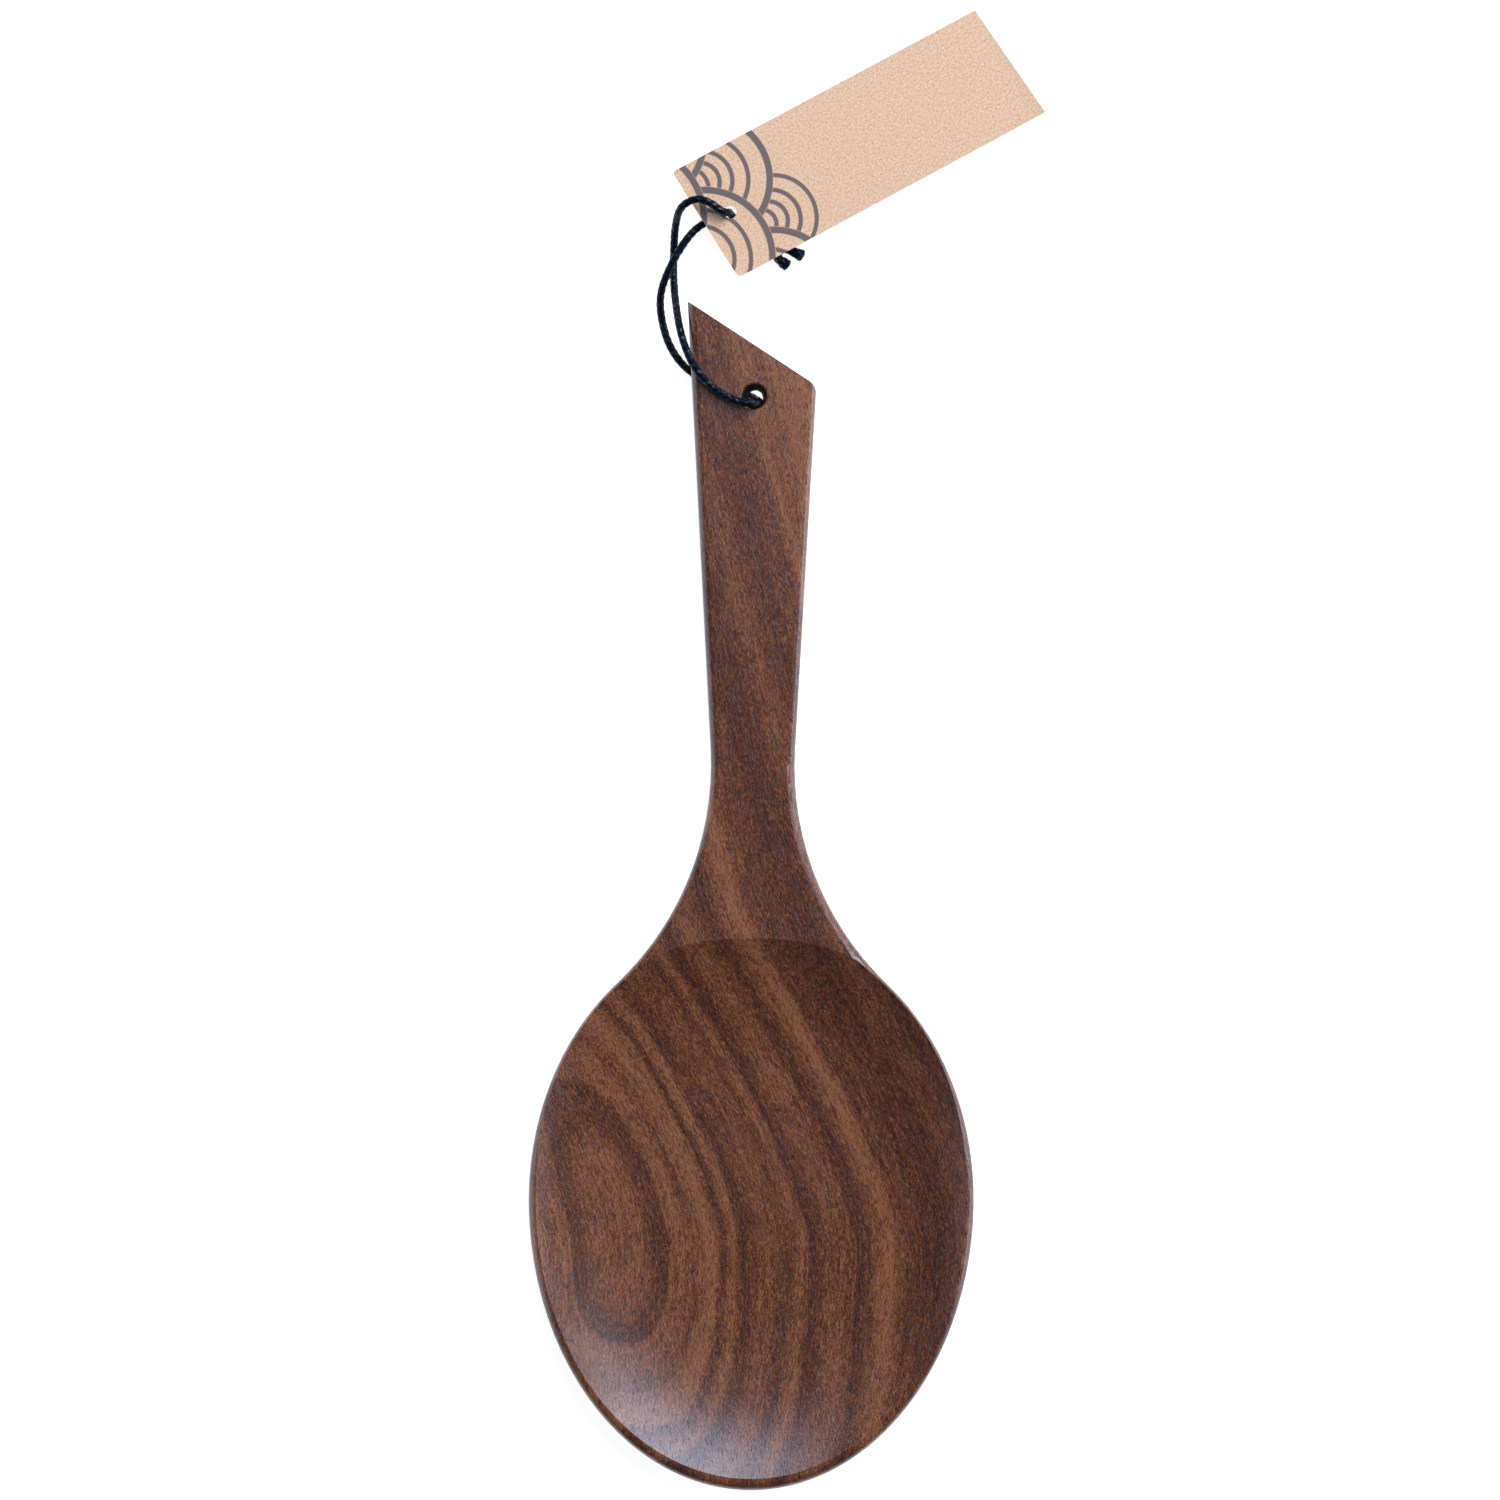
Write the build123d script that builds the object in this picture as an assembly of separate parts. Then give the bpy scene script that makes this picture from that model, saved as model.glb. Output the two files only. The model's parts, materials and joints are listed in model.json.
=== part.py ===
"""Rice paddle with a hanging cord and a card hang tag, lying face up.

Millimetres. X runs across the paddle, Y from the blade's tip to the handle's end and Z up.
The origin is the middle of the paddle's outline, on the surface that the paddle lies on.
"""
from build123d import *
import math
import os

# Paddle, seen from above
PADDLE_LENGTH = 220.0
BLADE_HALF_WIDTH = 41.2
BLADE_TIP_REACH = 53.8          # from the blade's widest line to its tip
BLADE_SHOULDER_REACH = 50.3     # same ellipse width, towards the handle
NECK_RADIUS = 56.0              # hollow arc between blade and handle
HANDLE_END_HALF_WIDTH = 12.4
HANDLE_TAPER = 0.055            # width lost on each side for each millimetre towards the neck
END_SLANT = 33.0                # degrees, across the handle's end
END_CORNER_RADIUS = 2.8

# Paddle, from the side
BOARD_THICKNESS = 9.0
TOP_ROUND = 1.5
BACK_ROUND = 0.6
BACK_FLAT_DEPTH = 0.6           # how deep the flat back cuts into the rounded one
BLADE_BACK_RISE = 6.4           # back's height above the table at the blade's edge
HANDLE_BACK_RISE = 1.8          # extra height of the back at the handle's edges
BLADE_BACK_POWER = 2.3
HANDLE_BACK_POWER = 4.0
BACK_BLEND_START = 36.2         # from the blade's widest line, where its back starts to narrow
BACK_BLEND_END = 91.2           # from there too, where it has turned into the handle's
HANDLE_LIFT = 4.5               # how far the back has risen at the handle's end
HANDLE_LIFT_START = 81.2        # from the widest line too

# Scoop in the face
SCOOP_DEPTH = 5.2
SCOOP_SIDE_MARGIN = 1.3
SCOOP_TIP_MARGIN = 2.2
SCOOP_SHOULDER_REACH = 48.4
SCOOP_SHOULDER_POWER = 2.35
SCOOP_TIP_POWER = 2.0
SCOOP_WALL_POWER = 4.0

# Hanging hole
HOLE_DIAMETER = 4.5
HOLE_END_MARGIN = 17.6          # from the handle's end to the hole's middle
HOLE_LIP_ROUND = 0.5

# Cord. Its places, and the tag's, are X and Y from the hanging hole and Z from the table.
CORD_DIAMETER = 1.5
KNOT_CENTRE = (1.7, 28.4)
KNOT_HEADING = -28.0            # degrees from +X, from the strands to the cut ends
KNOT_LENGTH = 5.0
KNOT_RADIUS = 2.4
KNOT_FACE_RADIUS = 1.75
STRAND_PITCH = 1.6              # between the two strands in the knot

# Hang tag
TAG_LENGTH = 63.2
TAG_WIDTH = 23.0
TAG_THICKNESS = 0.5
TAG_HEADING = 28.4              # degrees from +X, from the holed end to the far end
TAG_END_MIDDLE = (-8.5, 32.1)   # middle of the holed end's edge
TAG_SEAT_GAP = 0.35             # air between the knot and the card
TAG_SAG = 0.2                   # how far the card's middle hangs below its chord
TAG_HOLE_DIAMETER = 2.4
TAG_HOLE_MARGIN = 4.5

# Workshop values
OVERRUN = 5.0                   # how far every cutter runs past what it cuts
SECTION_REACH_SHARE = 1.15      # the back's cross-sections run this far past the outline
BACK_SECTIONS = 24
BACK_COLUMNS = 9
RING_POINTS = 32
SCOOP_RING_SHARES = (0.3, 0.5, 0.68, 0.82, 0.93, 1.0, 1.06)
BEND_SHARE = 0.45               # share of the shorter run that each bend of the cord takes
ANGLE_TOLERANCE = 1e-9          # radians

HALF_LENGTH = PADDLE_LENGTH / 2
WIDEST_Y = BLADE_TIP_REACH - HALF_LENGTH
HOLE = Vector(0, HALF_LENGTH - HOLE_END_MARGIN, 0)
CORD_RADIUS = CORD_DIAMETER / 2


# Outline of the paddle

SIDE_NORMAL = Vector(1, -HANDLE_TAPER).normalized()
SIDE_OFFSET = SIDE_NORMAL.dot(Vector(HANDLE_END_HALF_WIDTH, HALF_LENGTH))
SHARP_CORNER = Vector(-HANDLE_END_HALF_WIDTH, HALF_LENGTH)


def handle_half_width(y):
    """Half the width of the tapered handle, carried on past both its ends."""
    return HANDLE_END_HALF_WIDTH - HANDLE_TAPER * (HALF_LENGTH - y)


def shoulder_point(angle):
    """Point of the blade's upper ellipse, by its parameter in radians."""
    return Vector(BLADE_HALF_WIDTH * math.cos(angle), WIDEST_Y + BLADE_SHOULDER_REACH * math.sin(angle))


def shoulder_normal(angle):
    """Outward direction of the upper ellipse at that point."""
    return Vector(math.cos(angle) / BLADE_HALF_WIDTH, math.sin(angle) / BLADE_SHOULDER_REACH).normalized()


def neck_centre(angle):
    """Centre of an arc of the neck's radius that touches the ellipse at that point."""
    return shoulder_point(angle) + shoulder_normal(angle) * NECK_RADIUS


def find_neck_angle():
    """Ellipse parameter where the neck's arc also touches the handle's side, by halving."""
    low, high = 0.0, math.pi / 2
    while high - low > ANGLE_TOLERANCE:
        middle = (low + high) / 2
        outside = SIDE_NORMAL.dot(neck_centre(middle)) - SIDE_OFFSET - NECK_RADIUS
        low, high = (middle, high) if outside > 0 else (low, middle)
    return low


NECK_ANGLE = find_neck_angle()
NECK_CENTRE = neck_centre(NECK_ANGLE)
NECK_LOW = shoulder_point(NECK_ANGLE)
NECK_HIGH = NECK_CENTRE - SIDE_NORMAL * NECK_RADIUS


def half_width(y):
    """Half the outline's width at y, from the blade's widest line to past the handle's end."""
    if y <= WIDEST_Y:
        return BLADE_HALF_WIDTH
    if y <= NECK_LOW.Y:
        return BLADE_HALF_WIDTH * math.sqrt(1 - ((y - WIDEST_Y) / BLADE_SHOULDER_REACH) ** 2)
    if y <= NECK_HIGH.Y:
        return NECK_CENTRE.X - math.sqrt(NECK_RADIUS ** 2 - (y - NECK_CENTRE.Y) ** 2)
    return handle_half_width(y)


def end_corner():
    """Rounded corner on the right of the slanted end: where it starts, its middle and its end."""
    slope = math.radians(END_SLANT)
    slant_normal = Vector(math.sin(slope), math.cos(slope))
    inner_slant = slant_normal.dot(SHARP_CORNER) - END_CORNER_RADIUS
    inner_side = SIDE_OFFSET - END_CORNER_RADIUS
    spread = SIDE_NORMAL.X * slant_normal.Y - SIDE_NORMAL.Y * slant_normal.X
    centre = Vector((inner_side * slant_normal.Y - SIDE_NORMAL.Y * inner_slant) / spread,
                    (SIDE_NORMAL.X * inner_slant - inner_side * slant_normal.X) / spread)
    on_side = centre + SIDE_NORMAL * END_CORNER_RADIUS
    between = centre + (slant_normal + SIDE_NORMAL).normalized() * END_CORNER_RADIUS
    return on_side, between, centre + slant_normal * END_CORNER_RADIUS


def long_outline():
    """Blade, neck and handle, with the handle run on past its slanted end."""
    past_end = HALF_LENGTH + OVERRUN
    far_right = Vector(handle_half_width(past_end), past_end)
    far_left = Vector(-far_right.X, past_end)
    left_neck = Vector(-NECK_HIGH.X, NECK_HIGH.Y)
    end = [Line(NECK_HIGH, far_right), Line(far_right, far_left), Line(far_left, left_neck)]

    blade = (0, WIDEST_Y)
    tip = EllipticalCenterArc(blade, BLADE_HALF_WIDTH, BLADE_TIP_REACH, start_angle=180, arc_size=180)
    shoulder = EllipticalCenterArc(blade, BLADE_HALF_WIDTH, BLADE_SHOULDER_REACH,
                                   start_angle=0, arc_size=math.degrees(NECK_ANGLE))
    neck_middle = NECK_CENTRE + (NECK_LOW + NECK_HIGH - NECK_CENTRE * 2).normalized() * NECK_RADIUS
    right = Curve() + [shoulder, ThreePointArc(NECK_LOW, neck_middle, NECK_HIGH)]
    return make_face(Curve() + [tip, right, mirror(right, about=Plane.YZ)] + end)


def end_cutter():
    """What the slanted end and its rounded corner take off the long handle."""
    on_side, between, on_slant = end_corner()
    outside = on_side + SIDE_NORMAL * OVERRUN
    start = SHARP_CORNER + (SHARP_CORNER - on_slant).normalized() * OVERRUN
    top = HALF_LENGTH + 2 * OVERRUN
    waste = [Line(start, on_slant), ThreePointArc(on_slant, between, on_side), Line(on_side, outside),
             Polyline(outside, (outside.X, top), (start.X, top), start)]
    return extrude(make_face(Curve() + waste), BOARD_THICKNESS + OVERRUN)


# Back and scoop, each cut away by a loft

def ease(y):
    """0 on the blade, 1 on the handle, with no kink between."""
    reach = y - WIDEST_Y - BACK_BLEND_START
    share = min(1, max(0, reach / (BACK_BLEND_END - BACK_BLEND_START)))
    return share * share * (3 - 2 * share)


def back_height(x, y):
    """Height of the rounded back: a bowl under the blade, a crowned strip under the handle."""
    if y < WIDEST_Y:
        radius = math.hypot(x / BLADE_HALF_WIDTH, (WIDEST_Y - y) / BLADE_TIP_REACH)
    else:
        radius = abs(x) / half_width(y)
    rise = BLADE_BACK_RISE + (HANDLE_BACK_RISE - BLADE_BACK_RISE) * ease(y)
    power = BLADE_BACK_POWER + (HANDLE_BACK_POWER - BLADE_BACK_POWER) * ease(y)
    lift_start = WIDEST_Y + HANDLE_LIFT_START
    lift = HANDLE_LIFT * (max(0, y - lift_start) / (HALF_LENGTH - lift_start)) ** 2
    return lift - BACK_FLAT_DEPTH + (rise + BACK_FLAT_DEPTH) * radius ** power


def back_cutter():
    """Everything under the rounded back, lofted through cross-sections along the paddle."""
    low_y = -HALF_LENGTH - OVERRUN
    step = 2 * (HALF_LENGTH + OVERRUN) / (BACK_SECTIONS - 1)
    sections = []
    for row in range(BACK_SECTIONS):
        y = low_y + step * row
        reach = SECTION_REACH_SHARE * half_width(y)
        columns = [reach * (2 * column / (BACK_COLUMNS - 1) - 1) for column in range(BACK_COLUMNS)]
        back = Spline([(x, y, back_height(x, y)) for x in columns])
        below = Polyline(back @ 1, (reach, y, -BOARD_THICKNESS), (-reach, y, -BOARD_THICKNESS), back @ 0)
        sections.append(make_face(Curve() + [back, below]))
    return loft(sections)


def scoop_ring(share):
    """Level line of the scoop, an oval that is fuller towards the handle, at a share of its width."""
    ring = []
    for step in range(RING_POINTS):
        turn = 2 * math.pi * step / RING_POINTS
        if math.sin(turn) < 0:
            power, along = SCOOP_TIP_POWER, BLADE_TIP_REACH - SCOOP_TIP_MARGIN
        else:
            power, along = SCOOP_SHOULDER_POWER, SCOOP_SHOULDER_REACH
        across = BLADE_HALF_WIDTH - SCOOP_SIDE_MARGIN
        x = math.copysign(abs(math.cos(turn)) ** (2 / power), math.cos(turn)) * across * share
        y = math.copysign(abs(math.sin(turn)) ** (2 / power), math.sin(turn)) * along * share
        depth = SCOOP_DEPTH * (1 - share ** SCOOP_WALL_POWER)
        ring.append((x, WIDEST_Y + y, BOARD_THICKNESS - depth))
    return make_face(Spline(ring, periodic=True))


def rounded_back(board):
    """Board with its back cut to shape and the edge around the back rounded."""
    board = board - back_cutter()
    back = board.faces().filter_by(GeomType.BSPLINE).sort_by(SortBy.AREA)[-1]
    flat = board.faces().filter_by(GeomType.PLANE).sort_by(Axis.Z)[0]
    edge = [line for line in back.edges() if not any(line.is_same(other) for other in flat.edges())]
    return fillet(edge, BACK_ROUND)


def make_paddle():
    """One board: rounded face edges, end cut crisply at a slant, shaped back, scoop and hole."""
    board = extrude(long_outline(), BOARD_THICKNESS)
    board = fillet(board.faces().sort_by(Axis.Z)[-1].outer_wire().edges(), TOP_ROUND)
    board = board - end_cutter()
    board = rounded_back(board)
    board = board - loft([scoop_ring(share) for share in SCOOP_RING_SHARES])
    board = board - Pos(HOLE) * Cylinder(HOLE_DIAMETER / 2, 2 * (BOARD_THICKNESS + OVERRUN))
    rims = board.edges().filter_by(GeomType.CIRCLE)
    lip = [rim for rim in rims if rim.is_closed and rim.center().Z > BOARD_THICKNESS / 2]
    return fillet(lip, HOLE_LIP_ROUND)


# Cord

KNOT_DIRECTION = Vector(math.cos(math.radians(KNOT_HEADING)), math.sin(math.radians(KNOT_HEADING)))
KNOT_PLANE = Plane(origin=HOLE + Vector(KNOT_CENTRE[0], KNOT_CENTRE[1], KNOT_RADIUS),
                   x_dir=KNOT_DIRECTION.cross(Vector(0, 0, 1)), z_dir=KNOT_DIRECTION)


def knot_point(side, reach):
    """Point on a strand's line through the knot: side 1 is the tag's side, -1 the other."""
    return KNOT_PLANE.from_local_coords((-side * STRAND_PITCH / 2, 0, reach))


def tube(name, points):
    """Round tube along straight runs joined by tangent arcs, each as large as its runs allow."""
    radii = []
    for before, corner, after in zip(points, points[1:], points[2:]):
        turn = math.radians((corner - before).get_angle(after - corner))
        shorter = min((corner - before).length, (after - corner).length)
        radii.append(BEND_SHARE * shorter / math.tan(turn / 2))
    path = FilletPolyline(*points, radius=radii) if radii else Line(*points)
    solid = sweep(Plane(origin=path @ 0, z_dir=path % 0) * Circle(CORD_RADIUS), path=path)
    expected = math.pi * CORD_RADIUS ** 2 * path.length
    print(name, "length", round(path.length, 1), "bend radii", [round(radius, 1) for radius in radii],
          "volume share", round(solid.volume / expected, 4))
    return solid


# Both strands start in the middle of the hanging hole and end in the knot's flat face.
FRONT_ROUTE = [
    (0.5, -0.7, 5.5), (0.5, -0.7, 8.9), (-0.5, -0.6, 10.7), (-2.9, -0.1, 10.6), (-6.2, 1.5, 9.95),
    (-9.1, 4.3, 9.95), (-11.3, 7.9, 10.3), (-12.9, 12.0, 9.2), (-14.1, 16.1, 5.8),
    (-14.8, 19.8, 2.3), (-15.1, 23.5, 0.8), (-15.1, 27.9, 0.8), (-14.8, 31.3, 2.9),
    (-13.5, 34.6, 6.8), (-10.5, 36.4, 8.1), (-7.4, 36.0, 7.8), (-5.3, 34.9, 7.6),
    (-4.6, 34.4, 6.3), (-4.4, 34.0, 4.2), (-3.1, 32.6, 2.7),
]
REAR_ROUTE = [
    (0.5, -0.7, 5.5), (0.5, -0.7, 2.5), (-0.6, -0.5, 1.0), (-3.3, -0.1, 0.8), (-8.0, 0.9, 0.8),
    (-12.8, 4.3, 0.8), (-16.2, 9.3, 0.8), (-17.4, 15.2, 0.8), (-17.1, 20.2, 2.0),
    (-15.6, 24.2, 3.0), (-13.3, 28.0, 3.0), (-10.8, 31.2, 2.5), (-7.4, 32.5, 2.1), (-4.2, 31.1, 2.2),
]
SHORT_END_TIP = (6.3, 24.5, 0.9)
LONG_END_TIP = (9.1, 26.3, 1.5)
KNOT_APPROACH = 2.0             # straight run of each strand at the knot


def make_strand(name, route, side):
    """Strand from the hanging hole to the knot, which it meets square."""
    face = -KNOT_LENGTH / 2
    free = [HOLE + Vector(point) for point in route]
    return tube(name, free + [knot_point(side, face - KNOT_APPROACH), knot_point(side, face)])


def make_end(name, side, tip):
    """Cut end that leaves the knot square and drops towards the table."""
    face = KNOT_LENGTH / 2
    return tube(name, [knot_point(side, face), knot_point(side, face + CORD_RADIUS), HOLE + Vector(tip)])


def make_knot():
    """Barrel that the tied knot fills, flat where the strands enter and leave."""
    half = KNOT_LENGTH / 2
    bulge = ThreePointArc((KNOT_FACE_RADIUS, -half), (KNOT_RADIUS, 0), (KNOT_FACE_RADIUS, half))
    sides = Polyline((KNOT_FACE_RADIUS, half), (0, half), (0, -half), (KNOT_FACE_RADIUS, -half))
    profile = Plane.XZ * make_face(Curve() + [bulge, sides])
    return KNOT_PLANE * revolve(profile, Axis.Z)


# Hang tag

def make_tag():
    """Card that leans on the knot at its holed end and touches the table at its far edge."""
    heading = math.radians(TAG_HEADING)
    along = Vector(math.cos(heading), math.sin(heading))
    seat = along.dot(Vector(*KNOT_CENTRE) - Vector(*TAG_END_MIDDLE))
    seat_share = seat / TAG_LENGTH
    seat_sag = 4 * TAG_SAG * seat_share * (1 - seat_share)
    lean = (2 * KNOT_RADIUS + TAG_SEAT_GAP + seat_sag) / (TAG_LENGTH - seat)
    middle = TAG_LENGTH / 2
    low = [(0, lean * TAG_LENGTH), (middle, lean * middle - TAG_SAG), (TAG_LENGTH, 0)]
    high = [(place, height + TAG_THICKNESS) for place, height in low]
    edges = [ThreePointArc(*low), Line(low[2], high[2]), ThreePointArc(*high), Line(high[0], low[0])]
    end_middle = HOLE + Vector(*TAG_END_MIDDLE)
    side_plane = Plane(origin=end_middle, x_dir=along, z_dir=along.cross(Vector(0, 0, 1)))
    card = extrude(side_plane * make_face(Curve() + edges), TAG_WIDTH / 2, both=True)
    place = end_middle + along * TAG_HOLE_MARGIN
    tilt = math.degrees(math.atan(lean))
    axis_plane = Plane(origin=(place.X, place.Y, lean * (TAG_LENGTH - TAG_HOLE_MARGIN)),
                       x_dir=along.cross(Vector(0, 0, 1)),
                       z_dir=Vector(0, 0, 1).rotate(Axis((0, 0, 0), along.cross(Vector(0, 0, 1))), -tilt))
    print("tag hole at", axis_plane.origin, "axis", axis_plane.z_dir)
    return card - axis_plane * Cylinder(TAG_HOLE_DIAMETER / 2, 2 * OVERRUN)


os.makedirs("parts", exist_ok=True)
pieces = {
    "paddle": make_paddle(),
    "cord_front_strand": make_strand("cord_front_strand", FRONT_ROUTE, 1),
    "cord_rear_strand": make_strand("cord_rear_strand", REAR_ROUTE, -1),
    "cord_knot": make_knot(),
    "cord_end_short": make_end("cord_end_short", -1, SHORT_END_TIP),
    "cord_end_long": make_end("cord_end_long", 1, LONG_END_TIP),
    "hang_tag": make_tag(),
}
for name, shape in pieces.items():
    export_step(shape, f"parts/{name}.step")
    box = shape.bounding_box()
    print(name, "solids", len(shape.solids()), "low", box.min, "high", box.max)
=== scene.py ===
# %% [markdown]
# A rice paddle with its hang tag, seen from straight above.
#
# Three things lie on a pale table: an oiled walnut paddle, a waxed black cord that is doubled
# through the paddle's hanging hole, and a kraft card that the cord carries. The paddle comes ready
# shaped from the frame, so this lesson gives it its finish. The cord and the card come as plain
# solids, which would look like bent wire and a tile. They are built again here as what they are: a
# limp braided cord with a tied knot, and a printed card with worn corners.

# %% Tools and the frame
import json
import math

import bpy
import numpy as np
from mathutils import Matrix, Vector
from mathutils.geometry import delaunay_2d_cdt


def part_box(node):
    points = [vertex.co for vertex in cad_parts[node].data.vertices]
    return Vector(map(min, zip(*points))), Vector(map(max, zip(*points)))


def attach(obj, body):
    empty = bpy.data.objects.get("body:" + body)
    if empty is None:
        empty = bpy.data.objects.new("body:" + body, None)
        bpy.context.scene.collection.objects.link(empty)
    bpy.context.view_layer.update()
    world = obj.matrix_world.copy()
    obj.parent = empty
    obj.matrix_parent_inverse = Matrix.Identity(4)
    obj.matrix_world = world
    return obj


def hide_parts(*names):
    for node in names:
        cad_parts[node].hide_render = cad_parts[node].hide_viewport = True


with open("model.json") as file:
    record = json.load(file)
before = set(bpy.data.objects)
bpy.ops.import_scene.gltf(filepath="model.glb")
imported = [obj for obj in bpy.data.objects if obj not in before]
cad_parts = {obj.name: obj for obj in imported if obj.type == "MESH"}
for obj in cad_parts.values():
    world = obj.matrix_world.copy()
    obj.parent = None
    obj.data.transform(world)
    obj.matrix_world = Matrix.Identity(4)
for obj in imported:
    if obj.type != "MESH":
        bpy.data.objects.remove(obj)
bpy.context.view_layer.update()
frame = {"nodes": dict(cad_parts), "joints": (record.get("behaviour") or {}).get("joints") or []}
MM = 0.001

# %% [markdown]
# The picture is taken from above, along the Z axis, and shows the paddle without any visible
# perspective. A short lens would bend the rim of the scoop outwards, and a parallel camera would
# lose the little depth there is. A long lens, far away, keeps both right: its height follows from
# the width of table that the picture takes in.

# %% Camera
VIEW_WIDTH = 277.36 * MM                 # how much of the paddle's face plane the picture spans
VIEW_CENTRE = (-0.54 * MM, 27.0 * MM)
VIEW_TURN = math.radians(0.208)          # the paddle lies this little askew in the picture
FACE_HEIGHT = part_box("paddle")[1].z
LENS = 200
SENSOR = 36

camera_data = bpy.data.cameras.new("view_from_above")
camera_data.lens = LENS
camera_data.sensor_width = SENSOR
camera = bpy.data.objects.new("view_from_above", camera_data)
camera.location = (*VIEW_CENTRE, FACE_HEIGHT + VIEW_WIDTH * LENS / SENSOR)
camera.rotation_euler = (0, 0, VIEW_TURN)
bpy.context.scene.collection.objects.link(camera)
bpy.context.scene.camera = camera
print("camera height", round(camera.location.z, 3))

# %% [markdown]
# The cord is one length: from its short cut end through the knot, back under the card to the
# paddle, up through the hanging hole, over the handle's edge, down through the card's hole and
# through the knot again to its other cut end. Its points are control points of a NURBS line,
# which rounds them off as a limp cord does. X and Y are counted from the hanging hole and Z from
# the table, in millimetres, because that is how one would measure it on the bench.

# %% Route of the two strands
HANG_HOLE = Vector(next(j for j in frame["joints"] if j["name"] == "cord_swing")["pos_m"])
HOLE_FOOT = Vector((HANG_HOLE.x, HANG_HOLE.y, 0))

FRONT_ROUTE = [
    (0.75, -0.65, 5.5), (0.95, -1.0, 8.6), (0.0, -1.45, 10.6), (-2.9, -1.1, 10.5), (-5.7, 0.2, 9.95),
    (-8.5, 2.2, 9.95), (-11.1, 5.2, 10.2), (-12.8, 8.9, 9.9), (-13.9, 12.7, 8.4), (-14.5, 16.5, 5.6),
    (-14.9, 20.0, 2.3), (-15.1, 23.5, 0.8), (-15.0, 28.6, 0.8), (-14.8, 31.8, 2.9),
    (-13.9, 35.2, 7.4), (-10.8, 36.7, 8.6), (-8.3, 35.9, 8.2), (-6.6, 34.6, 7.8), (-5.3, 33.95, 7.6),
    (-4.8, 34.25, 6.0), (-4.7, 34.2, 4.2), (-3.2, 32.6, 2.7),
]
REAR_ROUTE = [
    (0.75, -0.65, 5.5), (0.45, -0.45, 2.9), (-0.5, 0.3, 1.2), (-3.5, 1.3, 0.8), (-8.2, 2.6, 0.8),
    (-12.7, 5.3, 0.8), (-15.8, 9.4, 0.8), (-17.4, 14.8, 0.8), (-17.6, 19.4, 2.0),
    (-16.0, 23.7, 3.0), (-13.7, 27.9, 3.0), (-11.2, 31.3, 2.5), (-7.8, 33.3, 2.1), (-4.2, 31.3, 2.2),
]
SHORT_END = [(6.3, 24.5, 0.9), (4.6, 25.65, 1.3)]
LONG_END = [(9.1, 26.3, 1.5), (6.7, 27.5, 1.8)]


def from_hole(point):
    """A place given from the hanging hole in millimetres, in the frame and in metres."""
    return HOLE_FOOT + Vector(point) * MM


print("strands of", len(FRONT_ROUTE), "and", len(REAR_ROUTE), "points")

# %% [markdown]
# The knot is an overhand knot, tied with both strands at once behind the card. Each strand goes
# through the middle, turns back, passes once round the outside, turns in and goes through the
# middle again. Written in turns about the knot's own axis, that is a short formula: two passes
# that twist by half a turn, and a belly that winds a full turn. The two strands keep to their own
# sides of that axis, a little closer than their free thickness, because waxed cord is pressed thin
# in a tight knot.

# %% Knot
KNOT_CENTRE = Vector((1.7, 28.4, 2.52))
KNOT_HEADING = math.radians(-28)
KNOT_AXES = Matrix.Rotation(KNOT_HEADING, 3, "Z")
KNOT_HALF = 1.9              # half the length of the two passes through the middle
BELLY_HALF = 1.4             # and of the belly
KNOT_CORE = 0.88             # how far a strand lies from the knot's axis inside it
KNOT_WRAP = 1.9              # and in the belly around it
KNOT_PAIR = 0.62             # half the distance between two strands that are pressed together
OUTER_BEND = 1.3             # how far past a pass the outer strand turns back
INNER_BEND = 0.5             # and the inner one
BEND_PINCH = 0.6             # share of KNOT_CORE left where a strand turns back
PASS_STEPS = 4
BELLY_STEPS = 8


def in_knot(along, angle, reach):
    """Point by its place along the knot's axis, its angle about that axis and its distance to it."""
    across = Vector((along, -reach * math.cos(angle), reach * math.sin(angle)))
    return KNOT_CENTRE + KNOT_AXES @ across


def knot_pass(side, start):
    """One way through the middle, from the strands' side, with half a twist about the axis."""
    points = []
    for step in range(PASS_STEPS):
        share = step / (PASS_STEPS - 1)
        angle = start + math.pi * share - side * math.pi / 4
        points.append(in_knot(KNOT_HALF * (2 * share - 1), angle, KNOT_CORE))
    return points


def knot_belly(side):
    """The full turn round the outside, from the far side back to the strands' side."""
    points = []
    for step in range(BELLY_STEPS + 1):
        share = step / BELLY_STEPS
        along = BELLY_HALF * (1 - 2 * share) + side * KNOT_PAIR
        points.append(in_knot(along, math.tau * share - math.pi / 2, KNOT_WRAP))
    return points


def knot_bend(side, end):
    """The bend from the middle out to the belly, wider for the strand that lies outside."""
    along = end * (KNOT_HALF + (OUTER_BEND if side == end else INNER_BEND))
    bend = [in_knot(along, -math.pi / 2, reach) for reach in (KNOT_CORE * BEND_PINCH, KNOT_WRAP)]
    return bend if end > 0 else bend[::-1]


def through_knot(side):
    """All of one strand's points in the knot, from where it comes in to where it leaves."""
    return (knot_pass(side, math.pi / 2) + knot_bend(side, 1) + knot_belly(side)
            + knot_bend(side, -1) + knot_pass(side, -math.pi / 2))


print("each strand's way through the knot has", len(through_knot(1)), "points")

# %% [markdown]
# The pieces of the route are strung together in the order in which the cord runs. Just before and
# after the knot, each strand gets one more point on a straight line through it. Without those, the
# line would swing round inside the knot and pull its first turn out of shape.

# %% The whole route
STRAND_PITCH = 1.6           # distance between the strands where they leave the knot
KNOT_ENTRY = -4.5            # where the strands come to the knot, along its axis from its middle
KNOT_EXIT = 2.9              # and where their cut ends leave it


def beside_knot(side, along):
    """Point on the line in which a strand comes to the knot and leaves it."""
    return KNOT_CENTRE + KNOT_AXES @ Vector((along, side * STRAND_PITCH / 2, 0))


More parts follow.
